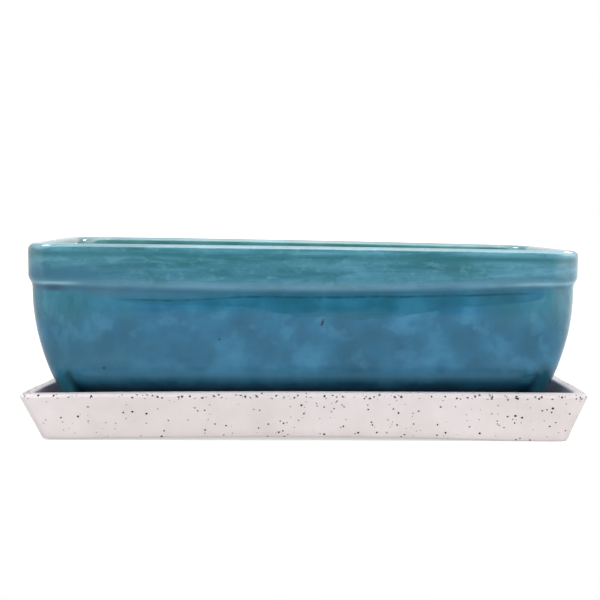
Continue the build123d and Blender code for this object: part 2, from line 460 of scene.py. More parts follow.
def body_color(nodes, place, along, rise, clouds, grain):
    """Wall: soft clouds of thicker and thinner glaze, with painted shade across the middle, mottled towards
    the ends, thin along the lower edge with a painted highlight, with painted shade under it, beside the
    feet and down on them."""
    color = nodes.ramp(clouds, WALL_CLOUDS)
    blots = nodes.noise(nodes.stretched(place, 0.9, 0.9, 1.0), scale=95.0, detail=3.0)
    color = nodes.tint(color, BLOT_PALE, nodes.smooth(blots, 0.52, 0.70, 0.0, 0.42))
    color = nodes.tint(color, BLOT_DEEP, nodes.smooth(blots, 0.46, 0.30, 0.0, 0.45))
    color = nodes.tint(color, WALL_GRAIN, nodes.smooth(grain, 0.45, 0.70, 0.0, 0.2))
    green = nodes.noise(nodes.stretched(place, 1.0, 1.0, 0.6), scale=26.0)
    color = nodes.tint(color, WALL_GREEN, nodes.smooth(green, 0.54, 0.70, 0.0, 0.45))

    ends = nodes.smooth(nodes.math("ABSOLUTE", along), 85.0, 130.0)
    shoulder = nodes.smooth(rise, neck_z - 26.0, neck_z - 6.0, 0.0, 0.65)
    color = nodes.tint(color, WALL_SHOULDER, ends, shoulder)
    mottle = nodes.noise(nodes.stretched(place, 1.0, 1.0, 0.5), scale=85.0, detail=3.0, roughness=0.55)
    color = nodes.tint(color, MOTTLE_PALE, ends, nodes.smooth(mottle, 0.53, 0.68, 0.0, 0.38))
    color = nodes.tint(color, MOTTLE_DEEP, ends, nodes.smooth(mottle, 0.46, 0.34, 0.0, 0.55))
    left = nodes.smooth(along, -60.0, -115.0, 0.0, 0.6)
    color = nodes.tint(color, WALL_LOW_LEFT, left, nodes.bump_at(rise, crease_z + 11.8, 15.0))
    # Painted shade: a broad darker band across the middle of the wall
    color = nodes.tint(color, WALL_MIDDLE_SHADE, nodes.bump_at(rise, crease_z + 17.8, 11.0), 0.3)

    # Thin glaze breaks paler along the lower edge, lifted further by a painted highlight: above the crease,
    # then on the top of the rounding
    color = nodes.tint(color, BRINK_THIN_AND_LIT, nodes.smooth(nodes.attribute("brink"), 0.5, 1.0, 0.0, 0.6))
    under = nodes.attribute("under")
    rounded = nodes.smooth(under, 0.02, 0.08)
    color = nodes.tint(color, EDGE_THIN_AND_LIT, rounded, nodes.smooth(under, 0.4, 0.1, 0.0, 0.4))
    # Painted shade on the underside of the wall's rounded lower edge
    color = nodes.tint(color, UNDERSIDE_SHADE, nodes.smooth(under, 0.36, 0.78, 0.0, 0.8))
    # Painted shade in the nook beside each foot's flank
    color = nodes.tint(color, NOOK_SHADE, nodes.attribute("nook"), 0.55)
    # Painted shade on the right foot and the corner beside it, low on the wall
    right_corner_shade = nodes.bump_at(along, 130.5, 8.0)
    color = nodes.tint(color, RIGHT_CORNER_SHADE, right_corner_shade,
                       nodes.bump_at(rise, crease_z + 1.0, 12.0), 0.75)
    # Painted shade on the feet below the crease, deeper on the right ones
    down = nodes.smooth(rise, crease_z + 6.0, crease_z - 5.0, 0.0, 0.85)
    feet = nodes.mix(nodes.smooth(along, -20.0, 20.0), linear(*LEFT_FEET_SHADE), linear(*RIGHT_FEET_SHADE))
    return nodes.mix(nodes.times(down, nodes.attribute("foot")), color, feet)


def pooled(nodes, place, along, rise, color, clouds):
    """Glaze that ran under the lip and hangs below it, deepest in the middle of each long wall."""
    reach = nodes.math("DIVIDE", nodes.math("SUBTRACT", along, POOL_MIDDLE), POOL_HALF_LENGTH)
    lens = nodes.math("SUBTRACT", 1.0, nodes.times(reach, reach))
    lens = nodes.math("POWER", nodes.math("MAXIMUM", lens, 0.0), 0.25)
    ripple = nodes.noise(nodes.stretched(place, 1.0, 1.0, 0.6),
                         scale=34.0, detail=4.0, roughness=0.6, distortion=0.3)
    hang = nodes.math("ADD", nodes.smooth(along, -30.0, -4.0, POOL_HANG_LEFT, POOL_HANG),
                      nodes.smooth(along, 30.0, 100.0, 0.0, -POOL_LESS_RIGHT))
    hang = nodes.math("ADD", hang, nodes.smooth(ripple, 0.3, 0.7, -POOL_RIPPLE, POOL_RIPPLE))
    above = nodes.math("SUBTRACT", rise, nodes.math("SUBTRACT", pool_top_z, nodes.times(lens, hang)))
    share = nodes.times(nodes.smooth(above, -0.4, 0.7), nodes.smooth(lens, 0.1, 0.5),
                        nodes.smooth(ripple, 0.32, 0.48, 0.65, 1.0))
    color = nodes.mix(nodes.times(share, 0.9), color, nodes.ramp(clouds, POOL_CLOUDS))
    runs = nodes.noise(nodes.stretched(place, 1.0, 1.0, 2.4),
                       scale=55.0, detail=4.0, roughness=0.6, distortion=0.4)
    color = nodes.tint(color, POOL_RUN, nodes.smooth(runs, 0.52, 0.64, 0.0, 0.4), share)
    return nodes.tint(color, POOL_BRIM, nodes.bump_at(above, 0.3, 0.9), nodes.smooth(lens, 0.3, 0.7), 0.25)


def lip_color(nodes, place, along, rise, color):
    """The proud lower edge of the band breaks pale where the glaze thins, with a painted highlight,
    strongest at its two tips.
    Below it lies a painted soft shade, and the glaze gathers along a dark seam; on the left both slid
    lower. A painted shadow lies under the lip at its left tip."""
    uneven = nodes.noise(nodes.stretched(place, 1.0, 1.0, 0.5), scale=30.0, detail=3.0, roughness=0.6)
    fine = nodes.noise(nodes.stretched(place, 1.0, 1.0, 0.3), scale=110.0, detail=3.0, roughness=0.6)
    # Thin glaze breaks pale on the lip's edge, with a painted highlight over it; brighter painted
    # highlights at the tips
    color = nodes.tint(color, LIP_PALE_AND_HIGHLIGHT, nodes.bump_at(rise, lip_z - 4.0, 3.0),
                       nodes.smooth(uneven, 0.34, 0.60, 0.3, 0.65),
                       nodes.smooth(along, -50.0, -100.0, 1.0, 0.55))
    left_tip = nodes.times(nodes.smooth(along, -116.0, -128.0),
                           nodes.smooth(along, -145.0, -137.0, 0.3, 1.0))
    tips = nodes.math("MAXIMUM", left_tip, nodes.smooth(along, 90.0, 120.0, 0.0, 0.7))
    color = nodes.tint(color, LIP_TIP_HIGHLIGHT, nodes.bump_at(rise, lip_z - 4.2, 1.6), tips,
                       nodes.smooth(uneven, 0.38, 0.58, 0.5, 0.9))

    # Painted shade under the lip, reaching lower on the left
    shade = nodes.math("ADD", nodes.smooth(along, -85.0, -120.0, 0.0, 0.35),
                       nodes.smooth(along, 20.0, 80.0, 0.5, 0.3))
    color = nodes.tint(color, LIP_SHADE, nodes.bump_at(rise, neck_z + 0.9, 2.6), shade)
    slid = nodes.smooth(along, -25.0, -75.0)
    color = nodes.tint(color, LIP_SHADE_SLID, nodes.bump_at(rise, neck_z - 1.6, 3.6), slid,
                       nodes.smooth(along, -125.0, -105.0, 0.0, 0.7))

    seam_rise = nodes.math("MULTIPLY_ADD", slid, 2.8, nodes.math("MULTIPLY_ADD", uneven, 1.4, rise))
    crisp = nodes.math("MAXIMUM", nodes.smooth(fine, 0.36, 0.60, 0.35, 0.9),
                       nodes.times(nodes.bump_at(along, 97.0, 35.0), 0.95))
    color = nodes.tint(color, LIP_SEAM, nodes.bump_at(seam_rise, neck_z - 1.0, 1.1), crisp,
                       nodes.smooth(along, 110.0, 135.0, 1.0, 0.0), nodes.smooth(along, -105.0, -80.0))
    # Painted shadow under the lip at its left tip
    notch = nodes.times(nodes.bump_at(along, -133.0, 9.0), nodes.bump_at(rise, neck_z + 1.0, 3.2))
    return nodes.tint(color, LIP_NOTCH_SHADOW, notch, 0.8)


def flecked(nodes, place, deep, color):
    """Pits and a crumb, on the front half of the pot alone."""
    flat = nodes.stretched(place, 1.0, 0.0, 1.0)
    in_front = nodes.math("LESS_THAN", deep, 0.0)
    for across, height, radius, strength in FRONT_FLECKS:
        away = nodes.add("ShaderNodeVectorMath", {0: flat, 1: (across * MM, 0.0, height * MM)},
                         output="Value", operation="DISTANCE")
        fleck = nodes.smooth(away, radius * FLECK_CORE * MM, radius * MM, strength, 0.0)
        color = nodes.tint(color, FLECK, fleck, in_front)
    return color


def blue_glaze():
    material, nodes, place = new_material("blue_glaze")
    along, deep, height = nodes.millimetres(place)
    rise = nodes.attribute("rise")
    wall_place = nodes.drifted(place, WALL_DRIFT)
    clouds = nodes.noise(nodes.stretched(wall_place, 1.0, 1.0, 0.9), scale=44.0, detail=3.0)
    grain = nodes.noise(nodes.stretched(place, 1.0, 1.0, 2.2), scale=150.0, detail=4.0, roughness=0.6)
    wave = nodes.noise(place, scale=24.0)

    band, streaks = band_color(nodes, nodes.drifted(place, BAND_DRIFT), along, rise)
    color = body_color(nodes, wall_place, along, rise, clouds, grain)
    color = pooled(nodes, nodes.drifted(place, POOL_DRIFT), along, rise, color, clouds)
    band_edge = nodes.math("MULTIPLY_ADD", wave, 4.0, neck_z + 0.2)
    color = nodes.mix(nodes.smooth(nodes.math("SUBTRACT", rise, band_edge), -1.0, 2.0), color, band)
    color = lip_color(nodes, place, along, rise, color)
    color = flecked(nodes, place, deep, color)
    color = nodes.mix(nodes.attribute("inside"), color, nodes.ramp(clouds, INSIDE_CLOUDS))
    # Thin glaze breaks paler on the rim's top edge, with a painted highlight over it
    wavy_rise = nodes.math("MULTIPLY_ADD", wave, 2.0, rise)
    color = nodes.tint(color, RIM_THIN_AND_HIGHLIGHT, nodes.smooth(wavy_rise, rim_z - 0.9, rim_z + 0.9, 0.0, 0.5))
    ragged_height = nodes.math("MULTIPLY_ADD", grain, 2.0, height)
    bare = nodes.smooth(ragged_height, foot_z + 1.6, foot_z + 2.2, 1.0, 0.0)
    color = nodes.tint(color, BARE_CLAY, bare)

    relief = nodes.relief(nodes.math("MULTIPLY_ADD", streaks, 0.5, clouds), strength=0.2, distance=1.5)
    rough = nodes.math("MULTIPLY_ADD", bare, 0.6, nodes.smooth(grain, 0.3, 0.7, 0.06, 0.12))
    nodes.surface({"Base Color": color, "Roughness": rough, "IOR": 1.5, "Normal": relief})
    return material


# Pot: one skin from its underside round the feet, up the wall, over the rim and down to the inner floor

DRAIN_STEPS = 40


def wall_inset(height):
    """How far the wall's outer face lies inside the rim's outline, below the neck."""
    drop = neck_z - max(height, toe_z)
    return BAND_STEP + belly_radius - sqrt(belly_radius ** 2 - drop ** 2)


def lower_profiles():
    """Two lists of points (inset, height), equally long: the rounded edge of the wall between the feet,
    from the underside out to the crease, and a foot's inner side, its sole and its outer side."""
    crease = wall_inset(crease_z)
    turn = 2 * atan2(EDGE_RISE, EDGE_RUN)
    radius = EDGE_RUN / sin(turn)
    sole_in = crease + EDGE_RUN - SOLE_SETBACK
    sole_out = wall_inset(toe_z)
    foot = [(sole_in + 0.6, under_z - 1.0), (sole_in, under_z - 4.0), (sole_in - 0.4, foot_z + 3.0),
            (sole_in - 0.8, foot_z + 0.8), (sole_in - SOLE_INNER_EASE, foot_z)]
    sole = steps_between(sole_in - SOLE_INNER_EASE, sole_out + SOLE_OUTER_EASE, count=4)
    foot += [(inset, foot_z) for inset in sole[1:]]
    foot += [(sole_out + 0.3, foot_z + 0.3), (sole_out, foot_z + SOLE_OUTER_EASE)]
    foot += [(wall_inset(h), h) for h in steps_between(foot_z + SOLE_OUTER_EASE, crease_z, count=12)[1:]]
    angles = steps_between(0.0, turn, len(foot) - 1)
    panel = [(crease + EDGE_RUN - radius * sin(a), under_z + radius * (1 - cos(a))) for a in angles]
    return panel, foot


def wall_heights():
    """Heights of the rings on the belly, from just above the crease to the neck."""
    return [crease_z + 0.4, crease_z + 1.0] + steps_between(crease_z, neck_z, count=22)[1:]


def upper_profile():
    """Points (inset, height) of the outer face from the neck to the rim's crown."""
    points = []
    half_lip = LIP_HEIGHT / 2
    bend = (half_lip ** 2 + (BAND_STEP / 2) ** 2) / BAND_STEP
    for h in steps_between(neck_z, lip_z, count=14)[1:]:
        if h < neck_z + half_lip:
            points.append((BAND_STEP - bend + sqrt(bend ** 2 - (h - neck_z) ** 2), h))
        else:
            points.append((bend - sqrt(bend ** 2 - (lip_z - h) ** 2), h))
    crown_z = rim_z - RIM_OUTER_ROUND
    points += [(0.0, h) for h in steps_between(lip_z, crown_z, count=6)[1:-1]]
    return points + arc((RIM_OUTER_ROUND, crown_z), RIM_OUTER_ROUND, 0, 90, count=9)


def inner_profile():
    """Points (inset, height) from the rim's crown down the inner wall to the floor."""
    points = [((RIM_OUTER_ROUND + RIM_WIDTH - RIM_INNER_ROUND) / 2, rim_z)]
    points += arc((RIM_WIDTH - RIM_INNER_ROUND, rim_z - RIM_INNER_ROUND), RIM_INNER_ROUND, 90, 180, count=8)
    points += [(RIM_WIDTH, h) for h in steps_between(rim_z - RIM_INNER_ROUND, neck_z, count=6)[1:]]
    floor_inset = wall_inset(floor_z) + WALL
    slope = (floor_inset - RIM_WIDTH) / (neck_z - floor_z)
    low_z = floor_z + 0.8 * CAVITY_FILLET
    inner_heights = steps_between(neck_z, low_z, count=16)[1:-1]
    points += [(floor_inset - slope * (h - floor_z), h) for h in inner_heights]
    lean = atan2(slope, 1.0)
    center = (floor_inset - slope * CAVITY_FILLET + CAVITY_FILLET / cos(lean), floor_z + CAVITY_FILLET)
    points += arc(center, CAVITY_FILLET, -degrees(lean), -90, count=8)
    points.append((center[0] + CAVITY_FILLET / 2, floor_z))
    return points


def flank_spread(height):
    """How far a foot's flank leans out from its knee at a height."""
    return FOOT_SPLAY * max(0.0, min(1.0, (knee_z - height) / (knee_z - foot_z)))


def pot_place(guide, inset):
    corner = max(RIM_CORNER - inset, LEAST_CORNER)
    return plan_place(guide, pot_half_x - inset, pot_half_y - inset, corner)


def beside_foot(guide, inset, height):
    """How far a point lies past the flank of its foot: along a long wall, along an end, and the share of it
    that the foot has, from 1 on the foot to 0 between the feet."""
    x, y = pot_place(guide, inset)
    past_x = corner_axis_x - abs(x) - FOOT_SHOULDER - flank_spread(height)
    past_y = corner_axis_y - abs(y) - FOOT_SHOULDER - flank_spread(height)
    return past_x, past_y, 1.0 - soft_step(max(past_x, past_y), -FLANK_EDGE, FLANK_EDGE)


def crease_lift(past, share):
    """How far the wall's lower edge sweeps up beside a foot."""
    return CREASE_SWEEP * exp(-max(past, 0.0) / SWEEP_REACH) * (1.0 - share)


def beside_flank(past):
    """1 in the nook between a foot's flank and the wall's lower edge, 0 on the foot and farther along."""
    return soft_step(past, -2.0, 0.0) * (1.0 - soft_step(past, 0.4, 4.0))


def lay_lower_ring(ring, guides, between, on_foot, layers):
    """Lays a ring along the lower edge of the walls and down round the feet; the flanks lean outwards."""
    closeness = (between[1] - under_z) / EDGE_RISE
    for point, guide in zip(ring, guides):
        past_x, past_y, share = beside_foot(guide, on_foot[0], between[1])
        past = max(past_x, past_y)
        lift = crease_lift(past, share) * closeness
        edge_inset = between[0] - (wall_inset(crease_z) - wall_inset(crease_z + lift))
        inset = edge_inset + (on_foot[0] - edge_inset) * share
        height = between[1] + lift + (on_foot[1] - between[1] - lift) * share
        x, y = pot_place(guide, inset)
        slide = flank_spread(height) - flank_spread(between[1])
        slide *= soft_step(past, -FLANK_REACH, 0.0) * share
        if past_x > past_y:
            x -= slide * (1 if x > 0 else -1)
        else:
            y -= slide * (1 if y > 0 else -1)
        point.co = (x * MM, y * MM, height * MM)
        point[layers["under"]] = (1.0 - closeness) * (1.0 - share)
        point[layers["foot"]] = share
        point[layers["nook"]] = beside_flank(past)
        point[layers["brink"]] = soft_step(past, 0.0, BRINK_REACH) * soft_step(closeness, 0.8, 1.0)


def lay_wall_ring(ring, guides, height, layers):
    """Lays a ring on the belly; close above the crease it follows the edge up towards each foot."""
    near = 1.0 - soft_step(height, crease_z, crease_z + SWEEP_FADE)
    near_nook = 1.0 - soft_step(height, crease_z, crease_z + NOOK_HEIGHT)
    for point, guide in zip(ring, guides):
        past_x, past_y, share = beside_foot(guide, wall_inset(height), min(height, crease_z))
        past = max(past_x, past_y)
        lifted = height + crease_lift(past, share) * near
        x, y = pot_place(guide, wall_inset(lifted))
        point.co = (x * MM, y * MM, lifted * MM)
        point[layers["brink"]] = near * soft_step(past, 0.0, BRINK_REACH)
        point[layers["nook"]] = beside_flank(past) * near_nook
        point[layers["foot"]] = near * share


def settle_pot(point):
    """How the fired pot differs from the drawing: its rim dips to the right, its lip sags in mid-wall, its
    underside hangs a little, its faces waver, and it stands a little to the left and is a little longer."""
    x, y, z = (c / MM for c in point)
    along = x / pot_half_x
    deep = y / pot_half_y
    rim_drop = RIM_DROP + RIM_DROP_RIGHT * along + RIM_DROP_BACK * deep + RIM_DROP_BACK_RIGHT * along * deep
    rim_drop += RIM_DROP_ENDS * along ** 2 + RIM_DROP_BACK_LEFT * ((1 - along) * (1 + deep)) ** 2
    sag = LONG_SAG * max(0.0, 1.0 - (x / LONG_SAG_REACH) ** 2)
    sag += END_SAG * max(0.0, 1.0 - (y / END_SAG_REACH) ** 2)
    sag *= soft_step(z, neck_z - SAG_FADE, neck_z) * (1.0 - soft_step(z, lip_z - 2.0, rim_z - 3.0))
    settled_z = z - max(0.0, rim_drop) * soft_step(z, lip_z - 3.0, rim_z - RIM_OUTER_ROUND) - sag
    settled_z -= UNDER_SAG * (1.0 - soft_step(abs(z - under_z), 0.0, UNDER_SAG_REACH))
    waver = noise.noise(Vector((x, y, z)) / WAVE_LENGTH) * WAVE_DEPTH
    waver += noise.noise(Vector((x, y, 2 * z)) / RIPPLE_LENGTH) * RIPPLE_DEPTH
    waver = min(0.0, waver - WAVE_INWARD)
    return Vector((x * POT_STRETCH + along * waver - POT_SHIFT, y + deep * waver, settled_z)) * MM


def build_pot():
    bm = bmesh.new()
    layers = {name: bm.verts.layers.float.new(name)
              for name in ("inside", "rise", "under", "brink", "nook", "foot")}
    ring, guides = rounded_ring(bm, pot_half_x, pot_half_y, RIM_CORNER)
    panel, foot = lower_profiles()
    under_inset = panel[0][0] + 3.0
    lay_ring(ring, guides, pot_half_x - under_inset, pot_half_y - under_inset, LEAST_CORNER, under_z)
    under_ring = ring
    for between, on_foot in zip(panel, foot):
        ring = pulled_ring(bm, ring)
        lay_lower_ring(ring, guides, between, on_foot, layers)
    for height in wall_heights():
        ring = pulled_ring(bm, ring)
        lay_wall_ring(ring, guides, height, layers)
    for inset, height in upper_profile():
        ring = pulled_ring(bm, ring)
        lay_ring(ring, guides, pot_half_x - inset, pot_half_y - inset, RIM_CORNER - inset, height)
    for inset, height in inner_profile():
        ring = pulled_ring(bm, ring)
        corner = max(CAVITY_CORNER + RIM_WIDTH - inset, LEAST_CORNER)
        lay_ring(ring, guides, pot_half_x - inset, pot_half_y - inset, corner, height)
        for point in ring:
            point[layers["inside"]] = 1.0 if inset > RIM_WIDTH - RIM_INNER_ROUND else 0.5
    floor_edges = ring_edges(bm, ring)
    under_edges = ring_edges(bm, under_ring)
    for hole_x in (-DRAIN_SPACING, 0.0, DRAIN_SPACING):
        top, bottom = add_drain(bm, hole_x, layers["inside"])
        floor_edges += ring_edges(bm, top)
        under_edges += ring_edges(bm, bottom)
    bmesh.ops.triangle_fill(bm, use_beauty=True, use_dissolve=False, edges=floor_edges)
    bmesh.ops.triangle_fill(bm, use_beauty=True, use_dissolve=False, edges=under_edges)
    for point in bm.verts:
        point[layers["rise"]] = point.co.z / MM
        point.co = settle_pot(point.co)
    return finish_piece(bm, "glazed_pot", "pot", "blue_glaze", blue_glaze(), "pot")


def add_drain(bm, hole_x, inside):
    """A drain hole through the floor, its edges softened by the glaze; gives its top and bottom rings."""
    middle = Vector((hole_x, 0.0, floor_z)) * MM
    circle = bmesh.ops.create_circle(bm, cap_ends=False, radius=(DRAIN_RADIUS + DRAIN_COLLAR) * MM,
                                     segments=DRAIN_STEPS, matrix=Matrix.Translation(middle))["verts"]
    top = sorted(circle, key=lambda v: atan2(v.co.y, v.co.x - middle.x))
    for point in top:
        point[inside] = 1.0
    hole = top
    for widening, height in ((0.8, floor_z), (0.2, floor_z - 0.4), (0.0, floor_z - 1.2),
                             (0.0, under_z + 1.2), (0.2, under_z + 0.4), (0.8, under_z),
                             (DRAIN_COLLAR, under_z)):
        hole = pulled_ring(bm, hole)
        for point in hole:
            spoke = Vector((point.co.x - middle.x, point.co.y)).normalized()
            spoke *= (DRAIN_RADIUS + widening) * MM
            point.co = (middle.x + spoke.x, spoke.y, height * MM)
            point[inside] = 1.0
    return top, hole


# Speckled glaze of the saucer

# Iron specks: cells per metre, largest radius in millimetres, share of the cells in the thickest swarms
SPECK_LAYERS = ((300.0, 0.62, 1.0), (220.0, 0.75, 1.0), (150.0, 0.80, 0.8))
SPECK_DRIFT = (0.217, 0.113, 0.029)
SPECK_LEAST = 0.5
SPECK_STRAYS = 0.08

# Dots along the saucer's rim: cells per metre, and radii in millimetres
RIM_DOT_SCALE = 460.0
RIM_DOT_LEAST = 0.40
RIM_DOT_MOST = 0.95

# Tones as they look on screen, 0 to 255; those of the crest and the inner face are painted shade
SAUCER_CLOUDS = ((0.3, (222, 212, 212)), (0.5, (229, 220, 220)), (0.7, (235, 227, 228)))
SAUCER_CREST_SHADE = (194, 188, 191)
SAUCER_INSIDE_SHADE = (116, 112, 120)
SAUCER_INSIDE_ENDS_SHADE = (164, 154, 164)
SPECK_TONES = ((0.35, (12, 10, 12)), (0.65, (48, 38, 40)))


def iron_specks(nodes, place, along):
    """Dark specks of several sizes, gathered in loose swarms that thicken towards the right."""
    place = nodes.drifted(place, SPECK_DRIFT)
    swarm = nodes.noise(place, scale=30.0)
    crowd = nodes.math("ADD", swarm, nodes.smooth(along, -130.0, 130.0, -0.04, 0.08))
    ragged = nodes.noise(place, scale=1500.0, detail=1.0)
    marks = None
    for scale, largest, most in SPECK_LAYERS:
        near, draw, size = nodes.cells(place, scale)
        chosen = nodes.math("LESS_THAN", draw, nodes.smooth(crowd, 0.32, 0.60, SPECK_STRAYS * most, most))
        largest_share = largest * MM * scale
        radius = nodes.smooth(size, 0.1, 1.0, SPECK_LEAST * largest_share, largest_share)
        radius = nodes.times(radius, nodes.smooth(ragged, 0.3, 0.7, 0.75, 1.15))
        mark = nodes.times(nodes.smooth(nodes.math("SUBTRACT", radius, near), -0.01, 0.03), chosen)
        marks = mark if marks is None else nodes.math("MAXIMUM", marks, mark)
    return marks


def rim_marks(nodes, place, height):
    """Clusters of ragged dots where the glaze thinned along the rim's outer edge."""
    near, draw, _ = nodes.cells(place, RIM_DOT_SCALE)
    groups = nodes.noise(place, scale=80.0, roughness=0.6)
    chosen = nodes.math("LESS_THAN", draw, nodes.smooth(groups, 0.38, 0.58, 0.15, 1.0))
    ragged = nodes.noise(place, scale=1300.0, detail=1.0)
    cells_per_mm = RIM_DOT_SCALE * MM
    radius = nodes.smooth(ragged, 0.3, 0.7, RIM_DOT_LEAST * cells_per_mm, RIM_DOT_MOST * cells_per_mm)
    dots = nodes.times(nodes.smooth(nodes.math("SUBTRACT", radius, near), -0.02, 0.06), chosen)
    on_edge = nodes.bump_at(height, saucer_rim_z - 1.8, 1.9)
    return nodes.times(dots, nodes.smooth(on_edge, 0.2, 0.45))


def speckled_glaze():
    """Warm white, with painted shade on the crest and on the inner face, and specks on the outer face."""
    material, nodes, place = new_material("speckled_glaze")
    along, _, height = nodes.millimetres(place)
    clouds = nodes.noise(place, scale=30.0, detail=3.0, roughness=0.55)
    color = nodes.ramp(clouds, SAUCER_CLOUDS)
    # Painted shade on the crest's rounding, which faces up into more light
    crest = nodes.smooth(height, saucer_rim_z - 1.7, saucer_rim_z - 0.4, 0.0, 0.75)
    color = nodes.tint(color, SAUCER_CREST_SHADE, crest)
    # Painted shade of the pot on the saucer's inner face, lighter at the ends
    at_ends = nodes.smooth(nodes.math("ABSOLUTE", along), 118.0, 138.0)
    inner = nodes.mix(at_ends, linear(*SAUCER_INSIDE_SHADE), linear(*SAUCER_INSIDE_ENDS_SHADE))
    color = nodes.mix(nodes.attribute("inside"), color, inner)
    marks = nodes.math("MAXIMUM", iron_specks(nodes, place, along), rim_marks(nodes, place, height))
    marks = nodes.times(marks, nodes.smooth(nodes.attribute("outer"), 0.0, 0.4))
    color = nodes.mix(marks, color, nodes.ramp(nodes.noise(place, scale=420.0, detail=1.0), SPECK_TONES))
    pitted = nodes.math("MULTIPLY_ADD", marks, -0.6, nodes.noise(place, scale=90.0, detail=3.0))
    nodes.surface({"Base Color": color, "Roughness": nodes.smooth(clouds, 0.3, 0.7, 0.38, 0.5), "IOR": 1.45,
                   "Specular IOR Level": 0.2, "Normal": nodes.relief(pitted, strength=0.12, distance=0.6)})
    return material


# Saucer: one skin from its base up the leaning wall, over the rim and down to the floor

# Where the painted shade on its inner face starts and is full, in millimetres below the rim, in mid-wall
# and at the ends
INNER_END = (120.0, 138.0)
INNER_START = 1.2
INNER_START_AT_END = 0.2
INNER_FULL = 3.4
INNER_FULL_AT_END = 1.2


def saucer_inset(height):
    return saucer_slope * (saucer_rim_z - height) - saucer_sharp


def saucer_profile():
    """Two lists of points (inset, height): the outer face up to the crest, then the inner face down."""
    base = saucer_inset(saucer_base_z)
    crest_z = saucer_rim_z - SAUCER_RIM_ROUND
    lean = degrees(saucer_lean)
    outer = [(base + 6.0, saucer_base_z), (base + 3.0, saucer_base_z), (base + 1.0, saucer_base_z),
             (base + 0.3, saucer_base_z + 0.1), (base, saucer_base_z + 0.4)]
    straight_top = crest_z - SAUCER_RIM_ROUND * sin(saucer_lean)
    outer += [(saucer_inset(h), h) for h in steps_between(saucer_base_z + 1.4, straight_top, count=10)[:-1]]
    outer += arc((SAUCER_RIM_ROUND, crest_z), SAUCER_RIM_ROUND, -lean, 90, count=12)
    inner_center = saucer_inset(crest_z) + SAUCER_WALL - SAUCER_RIM_ROUND / cos(saucer_lean)
    inner = arc((inner_center, crest_z), SAUCER_RIM_ROUND, 90, 180 - lean, count=10)
    fillet_z = saucer_floor_z + SAUCER_FLOOR_FILLET
    fillet_center = saucer_inset(fillet_z) + SAUCER_WALL + SAUCER_FLOOR_FILLET / cos(saucer_lean)
    fillet = arc((fillet_center, fillet_z), SAUCER_FLOOR_FILLET, -lean, -90, count=7)
    inner_heights = steps_between(inner[-1][1], fillet[0][1], count=8)[1:-1]
    inner += [(saucer_inset(h) + SAUCER_WALL, h) for h in inner_heights]
    return outer, inner + fillet + [(fillet_center + 3.0, saucer_floor_z)]


def settle_saucer(point):
    """How the fired saucer differs from the drawing: the lower edges of its long walls bow up, its crest
    stands higher in mid-wall and droops to the ends, its end walls dip behind the front corners, its right
    end slumps and spreads at the base, and its faces waver."""
    x, y, z = (c / MM for c in point)
    high = (z - saucer_base_z) / (saucer_rim_z - saucer_base_z)
    bow = BASE_BOW * max(0.0, 1.0 - (x / BASE_BOW_REACH) ** 2)
    bow *= (1.0 - soft_step(high, *BASE_BOW_FADE)) * soft_step(abs(y), *LONG_WALL)
    droop = (DROOP_LEFT if x < 0 else DROOP_RIGHT) * (x / saucer_half_x) ** 2
    dip = (DIP_LEFT if x < 0 else DIP_RIGHT) * soft_step(abs(x), *END_WALL)
    dip *= soft_step(y, *DIP_FRONT) * (1.0 - soft_step(y, *DIP_BACK))
    settled_z = z + high * (CREST_LIFT - droop - dip) + bow
    settled_z -= RIGHT_SLUMP * soft_step(x, *RIGHT_SLUMP_REACH) * (1.0 - soft_step(high, *RIGHT_SLUMP_FADE))
    waver = noise.noise(Vector((x, y, z)) / SAUCER_WAVE_LENGTH) * WAVE_DEPTH
    waver = min(0.0, waver - WAVE_INWARD)
    spread = RIGHT_SPREAD * max(0.0, RIGHT_SPREAD_TOP - high) * soft_step(x, *RIGHT_SPREAD_REACH)
    x += waver * x / saucer_half_x + spread
    y += waver * y / saucer_half_y
    return Vector((x, y, settled_z)) * MM


def inner_shade_share(point, height):
    """The share of painted shade: 0 on the crest and 1 below it on the inner face; at the ends the change
    lies nearer to the crest.
    """
    at_end = soft_step(abs(point.co.x) / MM, *INNER_END)
    start = INNER_START + (INNER_START_AT_END - INNER_START) * at_end
    full = INNER_FULL + (INNER_FULL_AT_END - INNER_FULL) * at_end
    return soft_step(saucer_rim_z - height, start, full)


def build_saucer():
    bm = bmesh.new()
    inside = bm.verts.layers.float.new("inside")
    outer_face = bm.verts.layers.float.new("outer")
    outer, inner = saucer_profile()
    ring, guides = rounded_ring(bm, saucer_half_x, saucer_half_y, SAUCER_CORNER)
    base_ring = None
    for points, corner in ((outer, SAUCER_CORNER), (inner, SAUCER_INNER_CORNER)):
        for inset, height in points:
            if base_ring:
                ring = pulled_ring(bm, ring)
            base_ring = base_ring or ring
            lay_ring(ring, guides, saucer_half_x - inset, saucer_half_y - inset, corner, height)
            for point in ring:
                point[inside] = inner_shade_share(point, height) if points is inner else 0.0
                point[outer_face] = 1.0 if points is outer else 0.0
    bmesh.ops.contextual_create(bm, geom=ring_edges(bm, base_ring))
    bmesh.ops.contextual_create(bm, geom=ring_edges(bm, ring))
    for point in bm.verts:
        point.co = settle_saucer(point.co)
    return finish_piece(bm, "speckled_saucer", "saucer", "speckled_glaze", speckled_glaze(), "saucer")


build_pot()
build_saucer()


# Drain screens and pads keep their own shape and get a moulded finish

SCREEN_TONES = ((0.35, (24, 26, 26)), (0.7, (44, 46, 45)))
PAD_TONES = ((0.35, (22, 22, 22)), (0.7, (40, 39, 38)))


